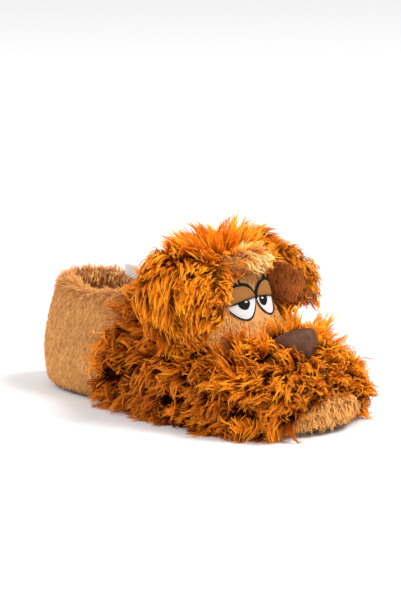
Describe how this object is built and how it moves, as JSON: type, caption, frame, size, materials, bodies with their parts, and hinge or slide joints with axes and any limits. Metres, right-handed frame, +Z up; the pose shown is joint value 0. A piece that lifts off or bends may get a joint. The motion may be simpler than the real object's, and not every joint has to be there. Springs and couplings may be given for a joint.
{
  "type": "plush dog house slipper",
  "caption": "Closed-heel plush slipper with a stuffed dog's head over the vamp, drooping ears, long shaggy pile on its sides and a soft fabric sole.",
  "frame": {"origin": "on the floor, under the middle of the sole's length and width at the shank", "axes": "+X to the toe, +Y to the wearer's left, +Z up"},
  "size_m": [0.2858, 0.157, 0.1527],
  "materials": {
    "sole": "matte woven",
    "insole": "short plush",
    "tan_pile": "short plush pile",
    "rust_pile": "long shaggy pile",
    "embroidery": "satin stitch",
    "nose_velour": "velour with a soft sheen",
    "label": "plain woven tape"
  },
  "bodies": {
    "root": {"outsole": "sole", "insole": "insole", "upper": "tan_pile", "head": "tan_pile", "brow": "tan_pile", "ear_lining_right": "tan_pile", "ear_lining_left": "tan_pile", "ear_right": "rust_pile", "ear_left": "rust_pile", "side_pile_right": "rust_pile", "side_pile_left": "rust_pile", "muzzle": "rust_pile", "crest": "rust_pile", "eye_right": "embroidery", "eye_left": "embroidery", "nose": "nose_velour", "label": "label"}
  },
  "joints": []
}
